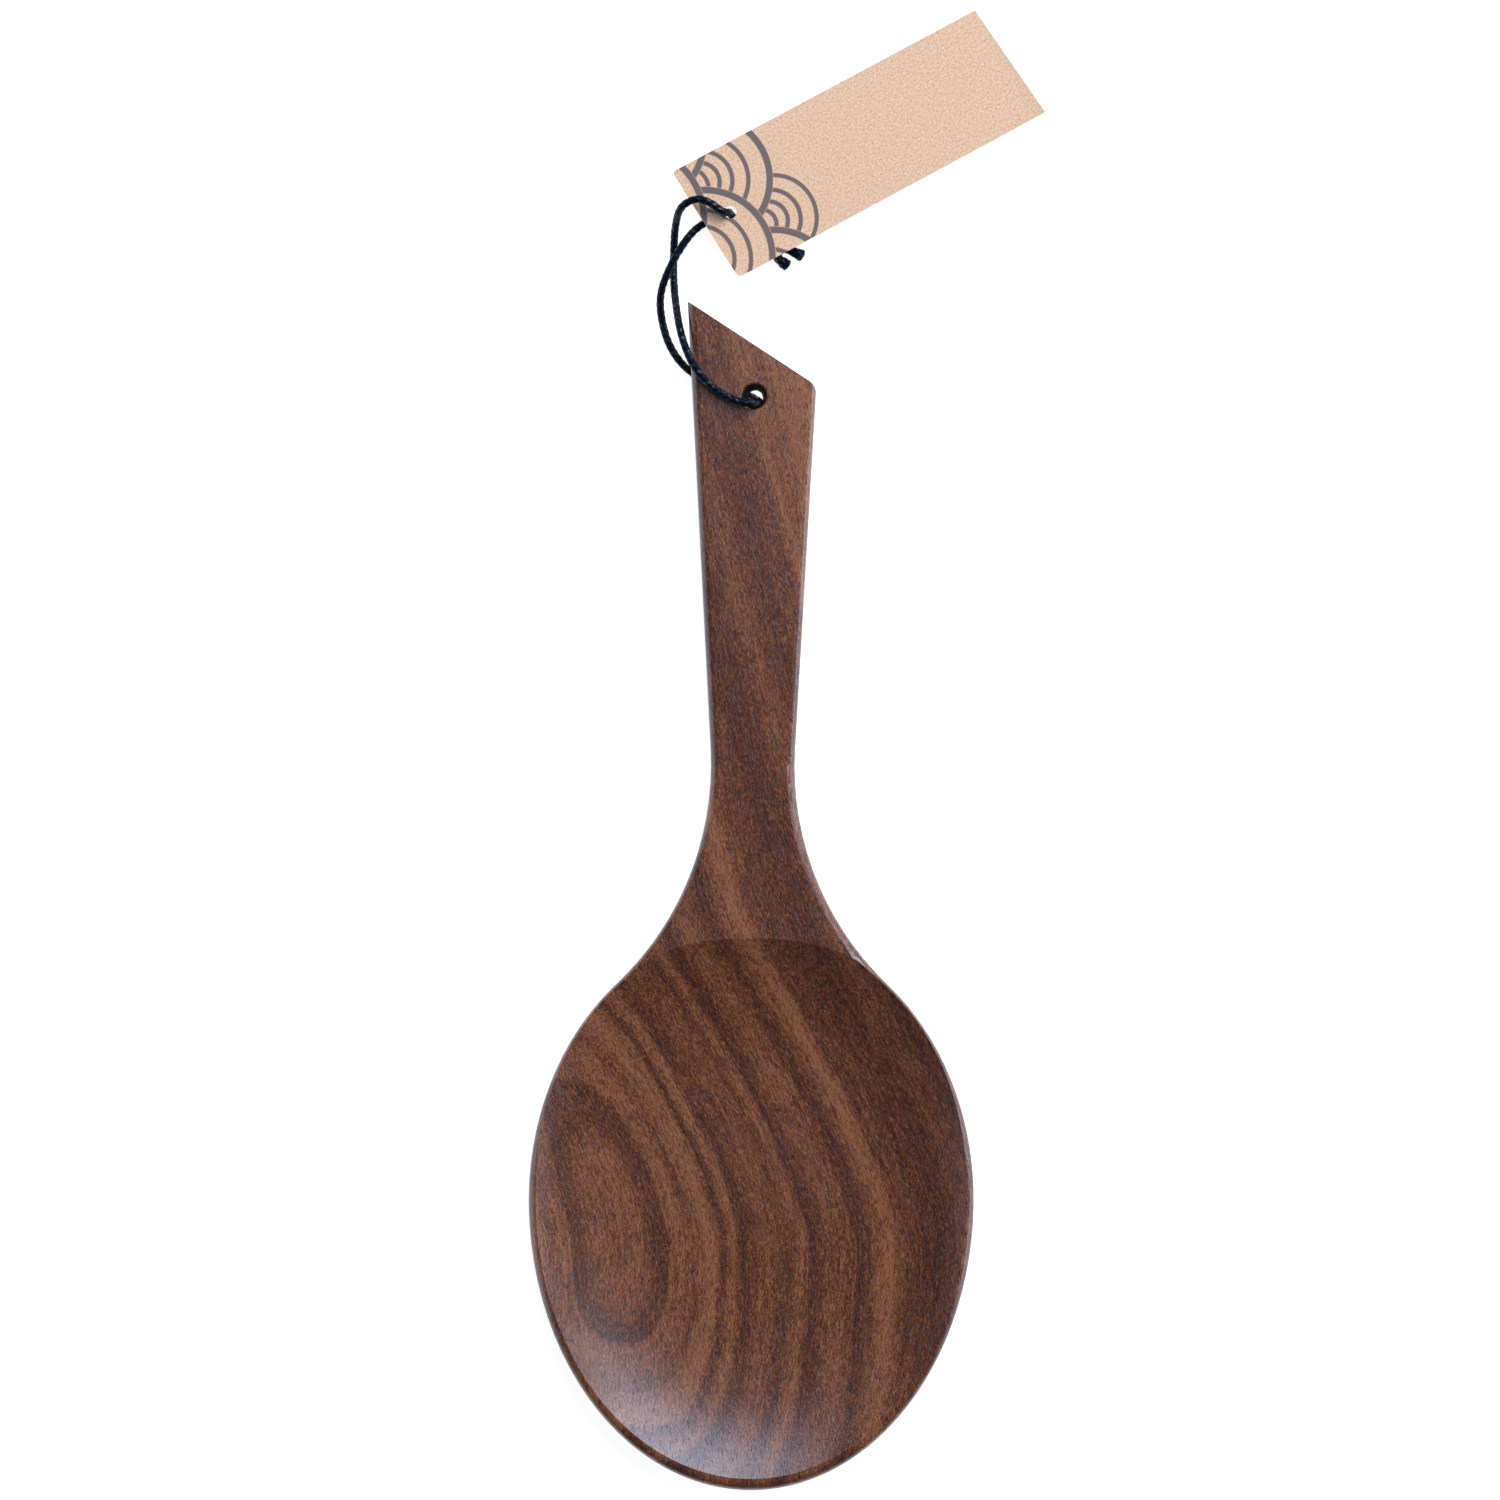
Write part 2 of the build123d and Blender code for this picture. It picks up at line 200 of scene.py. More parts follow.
def cord_points():
    """Control points of the whole cord, from the short cut end to the long one."""
    short_end = [Vector(point) for point in SHORT_END] + [beside_knot(-1, KNOT_EXIT)]
    rear = [beside_knot(-1, KNOT_ENTRY)] + [Vector(point) for point in REAR_ROUTE[::-1]]
    front = [Vector(point) for point in FRONT_ROUTE[1:]] + [beside_knot(1, KNOT_ENTRY)]
    long_end = [beside_knot(1, KNOT_EXIT)] + [Vector(point) for point in LONG_END[::-1]]
    route = short_end + through_knot(-1)[::-1] + rear + front + through_knot(1) + long_end
    return [from_hole(point) for point in route]


print("the cord's line has", len(cord_points()), "control points")

# %% [markdown]
# Blender works out the smooth line itself: a curve object with those control points is turned
# into a mesh of points, and the points are then spaced evenly, so that the braid on top of them
# has the same stitch everywhere. A curve with a bevel would be less work, but it can only give a
# smooth hose, and a braid is what the eye expects here.

# %% Even points along a smooth line
RING_SPACING = 0.14 * MM
CURVE_DETAIL = 24            # points between two control points, before they are spaced evenly


def smooth_line(points, spacing):
    """Evenly spaced points of the NURBS line that has these control points."""
    curve = bpy.data.curves.new("route", "CURVE")
    curve.dimensions = "3D"
    curve.resolution_u = CURVE_DETAIL
    spline = curve.splines.new("NURBS")
    spline.points.add(len(points) - 1)
    for place, point in zip(spline.points, points):
        place.co = (*point, 1)
    spline.order_u = 3
    spline.use_endpoint_u = True
    holder = bpy.data.objects.new("route", curve)
    mesh = bpy.data.meshes.new_from_object(holder)
    line = np.array([vertex.co[:] for vertex in mesh.vertices])
    bpy.data.objects.remove(holder)
    bpy.data.curves.remove(curve)
    bpy.data.meshes.remove(mesh)
    travelled = np.concatenate([[0], np.cumsum(np.linalg.norm(np.diff(line, axis=0), axis=1))])
    count = round(travelled[-1] / spacing)
    places = np.linspace(0, travelled[-1], count + 1)
    return np.stack([np.interp(places, travelled, line[:, axis]) for axis in range(3)], axis=1)


cord_line = smooth_line(cord_points(), RING_SPACING)
cord_length = np.linalg.norm(np.diff(cord_line, axis=0), axis=1).sum()
print("cord length", round(cord_length / MM, 1), "mm in", len(cord_line), "rings")

# %% [markdown]
# The cord's surface is a braid of eight yarns, four wound one way and four the other, each
# passing over one and under the next. Eight separate threads would be many thin meshes that cut
# into each other. One closed tube whose wall rises and falls as the yarns do is a clean mesh that
# catches light the same way. In a diamond braid, the yarn on top changes with the angle only, so
# the rows of stitches run straight along the cord like a chain of arrowheads.

# %% Relief of the braid
YARNS_EACH_WAY = 4
STITCH = 1.35 * MM           # length along the cord in which the braid repeats
YARN_CROWN = 0.8             # below 1, so that a yarn's top is broad and its sides are steep
UNDER_SHARE = 0.25           # height that a yarn keeps where it dives under another


def braid_relief(turn, travelled):
    """Height of the braid, from 0 to 1, at a share of a turn and a distance along the cord."""
    one_way = YARNS_EACH_WAY * turn - travelled / STITCH
    other_way = YARNS_EACH_WAY * turn + travelled / STITCH
    over = 0.5 + 0.5 * np.cos(math.pi * (one_way + other_way))
    one_yarn = np.abs(np.cos(math.pi * one_way)) ** YARN_CROWN * (UNDER_SHARE + (1 - UNDER_SHARE) * over)
    other_yarn = np.abs(np.cos(math.pi * other_way)) ** YARN_CROWN * (1 - (1 - UNDER_SHARE) * over)
    return np.maximum(one_yarn, other_yarn)


print("a stitch is", round(STITCH / RING_SPACING, 1), "rings long")

# %% [markdown]
# The cord isn't equally thick all along. The knot squeezes it, and at its two cut ends nothing
# holds the yarns together any more, so they have sprung open into little tassels, worn round at
# the very end. One factor for each ring of the tube says all of that.

# %% Thickness along the cord
PRESSED_SHARE = 0.84         # thickness left where the knot squeezes the cord
PRESSED_LENGTH = 3.4 * MM    # half the length along the knot's axis on which it does
PRESSED_REACH = 3.2 * MM     # and how far from that axis
FLARE_LENGTH = 3.4 * MM
FLARE_SHARE = 0.7            # how much wider the cut ends have sprung open
BLUNT_LENGTH = 0.5 * MM      # over which an end is worn round again
BLUNT_SHARE = 0.75


def cord_thickness(line, travelled):
    """Share of the full thickness along the cord: pressed in the knot, sprung open at the ends."""
    offset = line - np.array(from_hole(KNOT_CENTRE))
    along = offset @ np.array(KNOT_AXES @ Vector((1, 0, 0)))
    apart = np.sqrt(np.maximum((offset ** 2).sum(axis=1) - along ** 2, 0))
    pressed = np.clip((PRESSED_LENGTH - np.abs(along)) / MM, 0, 1) * (apart < PRESSED_REACH)
    to_end = np.minimum(travelled, travelled[-1] - travelled)
    flare = np.clip(1 - to_end / FLARE_LENGTH, 0, 1)
    blunt = np.sqrt(1 - BLUNT_SHARE * np.clip(1 - to_end / BLUNT_LENGTH, 0, 1) ** 2)
    return (1 - (1 - PRESSED_SHARE) * pressed + FLARE_SHARE * flare) * blunt


ring_places = np.arange(len(cord_line)) * cord_length / (len(cord_line) - 1)
ring_shares = cord_thickness(cord_line, ring_places)
print("thickness from", round(ring_shares.min(), 2), "to", round(ring_shares.max(), 2), "of the full one")

# %% [markdown]
# Each ring of the tube needs two directions square to the line. They are carried along from point
# to point without twisting, because a pair that always looks up would flip where the cord dives
# through a hole, and the mesh would be wrung there like a towel. Quads between the rings and a fan
# of triangles at each end close the tube.

# %% Closed tube
TUBE_SIDES = 32


def carried_frames(line):
    """For each point of a line two directions square to it, without twist."""
    ahead = np.gradient(line, axis=0)
    ahead /= np.linalg.norm(ahead, axis=1)[:, None]
    side = np.empty_like(ahead)
    side[0] = np.cross(ahead[0], (0, 0, 1))
    for place in range(1, len(line)):
        side[place] = side[place - 1] - ahead[place] * (side[place - 1] @ ahead[place])
    side /= np.linalg.norm(side, axis=1)[:, None]
    return side, np.cross(ahead, side)


def tube_faces(rings):
    """Faces of a closed tube whose two end points come after the points of its rings."""
    faces = []
    for ring in range(rings - 1):
        for step in range(TUBE_SIDES):
            low = ring * TUBE_SIDES + step
            next_low = ring * TUBE_SIDES + (step + 1) % TUBE_SIDES
            faces.append((low, next_low, next_low + TUBE_SIDES, low + TUBE_SIDES))
    last = (rings - 1) * TUBE_SIDES
    for step in range(TUBE_SIDES):
        following = (step + 1) % TUBE_SIDES
        faces.append((rings * TUBE_SIDES, following, step))
        faces.append((rings * TUBE_SIDES + 1, last + step, last + following))
    return faces


def tube_mesh(name, line, heights):
    """Closed tube through the line's points, with a height for each ring and side."""
    side, up = carried_frames(line)
    turns = np.arange(TUBE_SIDES) * math.tau / TUBE_SIDES
    spokes = side[:, None] * np.cos(turns)[None, :, None] + up[:, None] * np.sin(turns)[None, :, None]
    rings = line[:, None] + spokes * heights[..., None]
    mesh = bpy.data.meshes.new(name)
    points = rings.reshape(-1, 3).tolist() + [line[0].tolist(), line[-1].tolist()]
    mesh.from_pydata(points, [], tube_faces(len(line)))
    mesh.shade_smooth()
    return mesh


print("a tube of", len(cord_line), "rings has", len(tube_faces(len(cord_line))), "faces")

# %% [markdown]
# Now the cord itself. It rides on the body that swings about the hanging hole, and stands for the five
# solids that held its place until now, which are hidden.

# %% The cord
CORD_DIAMETER = 1.5 * MM
YARN_RELIEF = 0.16 * MM      # how far a yarn's top stands above the gap beside it


def make_cord():
    """The whole cord as one braided piece."""
    turns = np.arange(TUBE_SIDES)[None, :] / TUBE_SIDES
    relief = braid_relief(turns, ring_places[:, None])
    heights = (CORD_DIAMETER / 2 - YARN_RELIEF * (1 - relief)) * ring_shares[:, None]
    return bpy.data.objects.new("hang_cord", tube_mesh("hang_cord", cord_line, heights))


cord = make_cord()
bpy.context.scene.collection.objects.link(cord)
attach(cord, "cord")
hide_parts("cord_front_strand", "cord_rear_strand", "cord_knot", "cord_end_short", "cord_end_long")
print("cord faces", len(cord.data.polygons))

# %% [markdown]
# A finish in Blender is a tree of nodes, and most of those nodes are plain arithmetic. Written
# node by node, the arithmetic disappears. So one small class stands for a value in the tree and
# takes over + - * / and powers, from either side. After that, 1 - mask reads as it would on paper,
# and the Math nodes write themselves.

# %% Arithmetic on shader values
class Value:
    """A number, colour or direction that changes over a surface."""

    def __init__(self, finish, socket):
        self.finish = finish
        self.socket = socket

    def maths(self, operation, *values):
        return self.finish.node("ShaderNodeMath", {"operation": operation}, values)

    def __add__(self, other):
        return self.maths("ADD", self, other)

    def __radd__(self, other):
        return self.maths("ADD", other, self)

    def __sub__(self, other):
        return self.maths("SUBTRACT", self, other)

    def __rsub__(self, other):
        return self.maths("SUBTRACT", other, self)

    def __mul__(self, other):
        return self.maths("MULTIPLY", self, other)

    def __rmul__(self, other):
        return self.maths("MULTIPLY", other, self)

    def __truediv__(self, other):
        return self.maths("DIVIDE", self, other)

    def __rtruediv__(self, other):
        return self.maths("DIVIDE", other, self)

    def __pow__(self, other):
        return self.maths("POWER", self, other)

    def __rpow__(self, other):
        return self.maths("POWER", other, self)

    def size(self):
        return self.maths("ABSOLUTE", self)

    def at_least(self, low):
        return self.maths("MAXIMUM", self, low)

    def at_most(self, high):
        return self.maths("MINIMUM", self, high)

    def rise(self, low, high):
        """0 below low, 1 above high and a soft step between."""
        settings = {"interpolation_type": "SMOOTHSTEP"}
        return self.finish.node("ShaderNodeMapRange", settings, (self, low, high, 0, 1))


print("a value has", sum(callable(part) for part in vars(Value).values()), "methods")

# %% [markdown]
# The second class is the sheet that a tree is written on. It has one method that adds any node:
# the node's type, its settings, and then a number or a link for each socket. The few nodes that
# come again and again get a short name of their own. The world has a node tree too, so a sheet can
# also be laid on that.

# %% A sheet of nodes
COLOUR_SOCKETS = (6, 7)      # a Mix node holds its numbers, directions and colours side by side
COLOUR_RESULT = 2


class Finish:
    """One material, or another block with a node tree, written as expressions."""

    def __init__(self, name, block=None):
        self.block = block or bpy.data.materials.new(name)
        self.block.use_nodes = True
        self.tree = self.block.node_tree
        self.tree.nodes.clear()

    def node(self, kind, settings=None, inputs=(), output=0):
        """Adds a node: its settings first, then values or links by socket name or number."""
        made = self.tree.nodes.new(kind)
        for name, setting in (settings or {}).items():
            if name == "stops":
                self.set_stops(made.color_ramp, setting)
            else:
                setattr(made, name, setting)
        pairs = inputs.items() if isinstance(inputs, dict) else enumerate(inputs)
        for name, value in pairs:
            if isinstance(value, Value):
                self.tree.links.new(value.socket, made.inputs[name])
            else:
                made.inputs[name].default_value = value
        return Value(self, made.outputs[output]) if made.outputs else None

    @staticmethod
    def set_stops(ramp, stops):
        """Fills a colour ramp from pairs of a place and a grey level or a colour."""
        while len(ramp.elements) < len(stops):
            ramp.elements.new(1)
        for element, (place, level) in zip(ramp.elements, stops):
            element.position = place
            element.color = level if isinstance(level, tuple) else (level, level, level, 1)

    def place(self):
        """The place on the object, in metres, whatever the object's pose."""
        return self.node("ShaderNodeTexCoord", output="Object")

    def along(self, place, direction):
        """How far a place lies along a direction."""
        settings = {"operation": "DOT_PRODUCT"}
        return self.node("ShaderNodeVectorMath", settings, (place, direction), "Value")

    def vector(self, x, y, z):
        return self.node("ShaderNodeCombineXYZ", None, (x, y, z))

    def noise(self, place, scale, detail=2.0, roughness=0.5):
        settings = {"Scale": scale, "Detail": detail, "Roughness": roughness, "Vector": place}
        return self.node("ShaderNodeTexNoise", None, settings)

    def mix(self, factor, first, second):
        """Colour that goes from first to second as factor goes from 0 to 1."""
        sockets = {0: factor, COLOUR_SOCKETS[0]: first, COLOUR_SOCKETS[1]: second}
        return self.node("ShaderNodeMix", {"data_type": "RGBA"}, sockets, COLOUR_RESULT)

    def bump(self, height, distance, strength):
        sockets = {"Strength": strength, "Distance": distance, "Height": height}
        return self.node("ShaderNodeBump", None, sockets)

    def surface(self, **sockets):
        """Ends the tree in one principled surface."""
        inputs = {name.replace("_", " "): value for name, value in sockets.items()}
        shader = self.node("ShaderNodeBsdfPrincipled", None, inputs)
        self.node("ShaderNodeOutputMaterial", None, {"Surface": shader})
        return self.block


def paint(red, green, blue):
    """Colour as it looks on screen, 0 to 255, turned into the linear numbers that shaders use."""
    def linear(level):
        level /= 255
        return level / 12.92 if level <= 0.04045 else ((level + 0.055) / 1.055) ** 2.4
    return linear(red), linear(green), linear(blue), 1.0


print("half grey on screen is", round(paint(128, 128, 128)[0], 3), "to a shader")

# %% [markdown]
# Walnut. The figure on the blade comes from growth rings that meet the face at a flat angle: a
# closed oval on the left, then one long arch after another, all leaning over into the neck and
# running out along the handle. The board is one block of wood, so the figure is a field in space
# rather than a picture on the face: its value is the distance from the heart of the oval, squeezed
# along the grain and sheared where the grain leans, plus a share of the height. So the sides and
# the back show the same rings where they come out.

# %% Ring field of the wood
HEART = (-24.7, -66.1)       # middle of the closed oval
STRETCH_UP = 4.2             # rings reach this many times further up the grain than across it
STRETCH_DOWN = 1.97          # and down the grain
RING_POWER = 2.8             # above 2, so that the arches have long straight flanks
LEAN = 0.234                 # sideways drift of the rings for each millimetre up the paddle
LEAN_EASE = 9.0              # millimetres over which that drift sets in
BEND = 13.9                  # extra drift where the grain swings into the neck
BEND_LENGTH = 72.5           # and the way up the paddle on which it does
DEPTH_SHARE = 0.42           # how the rings spread with height through the board


def ring_place(x, y, z):
    """Distance of a point from the heart of the figure, in millimetres, and its sheared X."""
    up = (y - HEART[1]).at_least(0)
    down = (HEART[1] - y).at_least(0)
    drift = up * up / (up + LEAN_EASE) * LEAN
    leaning = x - HEART[0] + drift + (up / BEND_LENGTH).rise(0, 1) * BEND
    lengthwise = up / STRETCH_UP + down / STRETCH_DOWN
    oval = (leaning.size() ** RING_POWER + lengthwise ** RING_POWER) ** (1 / RING_POWER)
    return oval + (z - FACE_HEIGHT / MM) * DEPTH_SHARE, leaning


# %% [markdown]
# The rings are not evenly dark. Each ring's place and tone is listed in a ramp, from the heart outwards: a
# late, dark edge, then the pale early wood of the next year. A ramp holds 32 stops at most, so there are
# two, one for the rings near the heart and one for those further out. Each is level beyond its own span,
# so the two can simply be added.

# %% Tones of the rings
NEAR_TONES = [               # distance from the heart in millimetres, and tone from dark to pale
    (0, 0.57), (3, 0.61), (4.4, 0.44), (5.7, 0.31), (6.9, 0.35), (7.7, 0.59), (9, 0.69), (10.6, 0.59),
    (11.6, 0.47), (12.6, 0.61), (13.8, 0.77), (15.1, 0.77), (16, 0.68), (17.2, 0.25), (18.2, 0.50),
    (19.6, 0.70), (20.6, 0.36), (21.6, 0.25), (22.8, 0.41), (24.5, 0.50), (26.2, 0.57), (27.8, 0.46),
    (29.2, 0.35), (30.2, 0.50), (31.5, 0.72), (32.5, 0.57), (33.6, 0.24), (34.8, 0.28), (36, 0.50),
]
FAR_TONES = [
    (36, 0.50), (38, 0.57), (40.4, 0.51), (41.8, 0.46), (42.9, 0.25), (44, 0.29), (45.4, 0.50),
    # The dark stretch from 53 to 62 mm is partly darker wood and partly painted shade near the blade's
    # upper right rim.
    (47, 0.68), (48.6, 0.84), (49.8, 0.70), (51, 0.47), (53, 0.43), (55, 0.36), (57, 0.30),
    (59.5, 0.25), (62, 0.32), (65, 0.54), (67, 0.47), (71, 0.28), (73, 0.46), (74.5, 0.39),
    # The pale tones from 77 mm on are partly paler wood and partly a painted sheen towards the handle's
    # end.
    (77, 0.77), (79, 0.61), (83, 0.79), (90, 0.70),
]
JOINT_TONE = 0.5             # tone at which one ramp hands over to the other


def ring_and_light_tone(wood, rings):
    """Tone at a distance from the heart: the rings' tone, with painted shade and a painted sheen in the
    outer stretch.
    """
    tone = -JOINT_TONE
    for tones in (NEAR_TONES, FAR_TONES):
        low, high = tones[0][0], tones[-1][0]
        stops = [((ring - low) / (high - low), level) for ring, level in tones]
        tone = wood.node("ShaderNodeValToRGB", {"stops": stops}, ((rings - low) / (high - low),)) + tone
    return tone


print("walnut with", len(NEAR_TONES) + len(FAR_TONES), "ring tones")

# %% [markdown]
# On top of the rings go the things that make wood look like wood up close: thin lines that follow
# the rings, clouds of a slightly other tone, pores as short dark dashes along the grain, and fibres
# that the oil has not filled. Each is the same noise, drawn out along the grain by its own three
# scales. They are strongest in the colour, and only hinted at in the relief, because an oiled board
# is smooth to the finger. The high IOR and the bluish sheen give the oil's gloss under a window.

# %% Walnut finish
WALNUT_DARK = paint(46, 15, 5)
WALNUT_MID = paint(104, 53, 25)
WALNUT_PALE = paint(154, 101, 66)
WALNUT_COLOURS = [(0.0, WALNUT_DARK), (0.48, WALNUT_MID), (1.0, WALNUT_PALE)]
GRAIN = {                    # changes per millimetre across the grain, along it and with height
    "wander": (0.06, 0.025, 0.06),
    "ragged": (0.9, 0.12, 0.9),
    "fine_rings": (1.1, 0.015, 0.02),
    "mottle": (0.22, 0.05, 0.22),
    "long_fibres": (1.9, 0.24, 1.9),
    "short_fibres": (6.0, 1.0, 6.0),
    "speckle": (6.5, 2.8, 6.5),
    "pores": (3.6, 0.42, 2.5),
}
PORE_DEPTH = 3.6             # millimetres by which the pores' noise is moved away from the fibres'
PORE_EDGES = (0.09, 0.18)
TONE_SHARES = {"fine_rings": 0.5, "mottle": 0.35, "long_fibres": 1.0, "short_fibres": 2.3,
               "speckle": 1.9, "pores": -0.26}
RELIEF_SHARES = {"long_fibres": 0.5, "short_fibres": 0.8, "speckle": 0.5, "pores": -0.5}


def grain(wood, name, place, detail, roughness=0.5):
    """One layer of noise around zero, drawn out along the grain."""
    scaled = [value * scale for value, scale in zip(place, GRAIN[name])]
    return wood.noise(wood.vector(*scaled), 1.0, detail, roughness) - 0.5


def walnut_layers(wood, x, y, z, leaning, rings):
    """The layers of noise by name, and the pores as dashes from 0 to 1."""
    return {
        "fine_rings": grain(wood, "fine_rings", (rings, y, z), 3, 0.6),
        "mottle": grain(wood, "mottle", (leaning, y, z), 3, 0.55),
        "long_fibres": grain(wood, "long_fibres", (leaning, y, z), 3, 0.6),
        "short_fibres": grain(wood, "short_fibres", (leaning, y, z), 2, 0.6),
        "speckle": grain(wood, "speckle", (x, y, z), 2, 0.6),
        "pores": grain(wood, "pores", (leaning, y, z + PORE_DEPTH), 1, 0.4).rise(*PORE_EDGES),
    }


def walnut_finish():
    """Oiled walnut with growth rings, pores and fibres."""
    wood = Finish("oiled_walnut")
    place = wood.place()
    x, y, z = (wood.along(place, axis) for axis in np.eye(3) / MM)
    rings, leaning = ring_place(x, y, z)
    rings = rings + grain(wood, "wander", (x, y, z), 2) * 2.2
    rings = rings + grain(wood, "ragged", (leaning, y, z), 2) * 1.3
    layers = walnut_layers(wood, x, y, z, leaning, rings)
    shade = ring_and_light_tone(wood, rings) + sum(layers[name] * share for name, share in TONE_SHARES.items())
    relief = sum(layers[name] * share for name, share in RELIEF_SHARES.items())
    return wood.surface(
        Base_Color=wood.node("ShaderNodeValToRGB", {"stops": WALNUT_COLOURS}, (shade,)),
        Roughness=0.27 + layers["pores"] * 0.1 - layers["short_fibres"] * 0.12,
        IOR=1.85, Specular_Tint=(0.72, 0.84, 1, 1),
        Sheen_Weight=0.14, Sheen_Roughness=0.25, Sheen_Tint=(0.75, 0.8, 1, 1),
        Normal=wood.bump(relief, 0.06 * MM, 0.5))


board = frame["nodes"]["paddle"]
board.data.materials.clear()
board.data.materials.append(walnut_finish())
print("walnut finish with", len(board.data.materials[0].node_tree.nodes), "nodes")

# %% [markdown]
# Waxed cord. Black yarn under a skin of wax: almost no colour, but a soft bluish shine on each
# stitch. The braid itself is real relief, so the finish only adds the thin hairs within a yarn, and
# patches where the wax is thick enough to shine like a coat of varnish.

# %% Cord finish
YARN_DARK = paint(1, 1, 4)
YARN_PALE = paint(7, 9, 20)
HAIR_SCALE = 9000            # changes per metre, so nine for each millimetre
WAX_SCALE = 900
WAX_EDGES = (0.45, 0.65)


def cord_finish():
    """Waxed black yarn."""
    yarn = Finish("waxed_black_yarn")
    place = yarn.place()
    hairs = yarn.noise(place, HAIR_SCALE, 2, 0.6)
    wax = yarn.noise(place, WAX_SCALE, 2, 0.5).rise(*WAX_EDGES)
    return yarn.surface(
        Base_Color=yarn.mix(hairs, YARN_DARK, YARN_PALE),
        Roughness=0.6 - hairs * 0.15,
        IOR=1.5, Specular_IOR_Level=0.2, Specular_Tint=(0.2, 0.45, 1, 1),
        Coat_Weight=wax * 0.5, Coat_Roughness=0.1,
        Normal=yarn.bump(hairs, 0.03 * MM, 0.6))


cord.data.materials.append(cord_finish())
print("cord finish with", len(cord.data.materials[0].node_tree.nodes), "nodes")

# %% [markdown]
# The card's print: grey fans in the old overlapping wave pattern. It could be cut as thin meshes
# laid on the card, but ink has no thickness, and arcs as arithmetic stay sharp at any distance.
# Each fan is a set of rings and hides what lies behind it, so the print is built from the back fan
# to the front one: clear the fan's disc, then lay its rings on it. Places on the card are
# millimetres along it from its holed end and across it from its middle.

# %% Card print
OUTER_LINE = 1.27
INNER_LINE = 0.82
LINE_SOFTNESS = 0.12         # half the width over which a line's edge fades
SIDE_FAN = [(3.39, 11.83, OUTER_LINE), (3.1, 8.1, INNER_LINE), (2.73, 5.47, INNER_LINE),
            (2.04, 3.73, INNER_LINE), (-0.65, 4.07, INNER_LINE)]
MIDDLE_FAN = [(-3.69, 12.57, OUTER_LINE), (-4.44, 9.25, INNER_LINE), (-4.54, 6.26, INNER_LINE)]
FAR_FAN = [(11.08, 7.99, INNER_LINE), (10.44, 5.58, INNER_LINE), (9.96, 3.63, INNER_LINE),
           (8.69, 2.63, INNER_LINE)]
NEAR_FAN = [(-12.14, 13.31, OUTER_LINE)]
LOW_FAN = [(4.82, 11.55, OUTER_LINE), (3.36, 8.7, INNER_LINE)]
UPPER_FAN = [(-3.69, 11.35, OUTER_LINE)]
FANS_BACK_TO_FRONT = [       # how far each fan's middle lies across the card, and its rings, outer
    (-4.71, FAR_FAN),        # one first: their middle along the card, their radius and their line
    (7.49, SIDE_FAN),
    (-16.94, LOW_FAN),
    (-5.22, MIDDLE_FAN),
    (19.2, UPPER_FAN),
    (7.46, NEAR_FAN),
]


def beyond(value, edge):
    """0 below an edge and 1 above it, with a soft step as wide as ink bleeds."""
    return value.rise(edge - LINE_SOFTNESS, edge + LINE_SOFTNESS)


def fan_print(along, across):
    """Where there is ink, from 0 to 1."""
    ink = along * 0
    for row, rings in FANS_BACK_TO_FRONT:
        sideways = across - row
        disc = None
        for centre, reach, line in rings:
            ahead = along - centre
            apart = (ahead * ahead + sideways * sideways) ** 0.5
            if disc is None:
                disc = 1 - beyond(apart, reach + line / 2)
                ink = ink * (1 - disc)
            drawn = 1 - beyond((apart - reach).size(), line / 2)
            ink = ink.at_least(drawn * disc)
    return ink


print(len(FANS_BACK_TO_FRONT), "fans with", sum(len(rings) for row, rings in FANS_BACK_TO_FRONT), "rings")

# %% [markdown]
# Kraft board is brown, uncoated pulp, so it has no gloss, and its colour is a tangle of paler and
# darker fibres that lie mostly along the sheet. Four layers of noise make that: soft clouds, fine
# grit, long pale fibres and a few dark flecks. The ink sits on top, a little thinner where a fibre
# stands up, and only on the face that looks up.

# %% Card finish
TAG_END = (-8.5, 32.1)       # middle of the card's holed end, from the hanging hole
TAG_HEADING = math.radians(28.4)
TAG_AHEAD = Vector((math.cos(TAG_HEADING), math.sin(TAG_HEADING), 0))
TAG_SIDEWAYS = Vector((-math.sin(TAG_HEADING), math.cos(TAG_HEADING), 0))
KRAFT = paint(223, 186, 156)
KRAFT_DARK = paint(164, 120, 90)
KRAFT_PALE = paint(243, 216, 192)
KRAFT_FLECK = paint(136, 98, 74)
INK = paint(92, 86, 92)
MOTTLE_SCALE = 2.4           # changes per millimetre
GRIT_SCALE = 3.4
FIBRE_SCALES = (1.2, 5.0)    # along the card and across it
FLECK_SCALES = (2.2, 3.4)
FLECK_DEPTH = 7.0            # keeps the flecks' noise apart from the fibres'


def card_place(card):
    """How far a place lies along the card and across it, in millimetres."""
    start = from_hole((*TAG_END, 0))
    ahead, sideways = TAG_AHEAD / MM, TAG_SIDEWAYS / MM
    place = card.place()
    return (card.along(place, ahead) - ahead.dot(start),
            card.along(place, sideways) - sideways.dot(start))


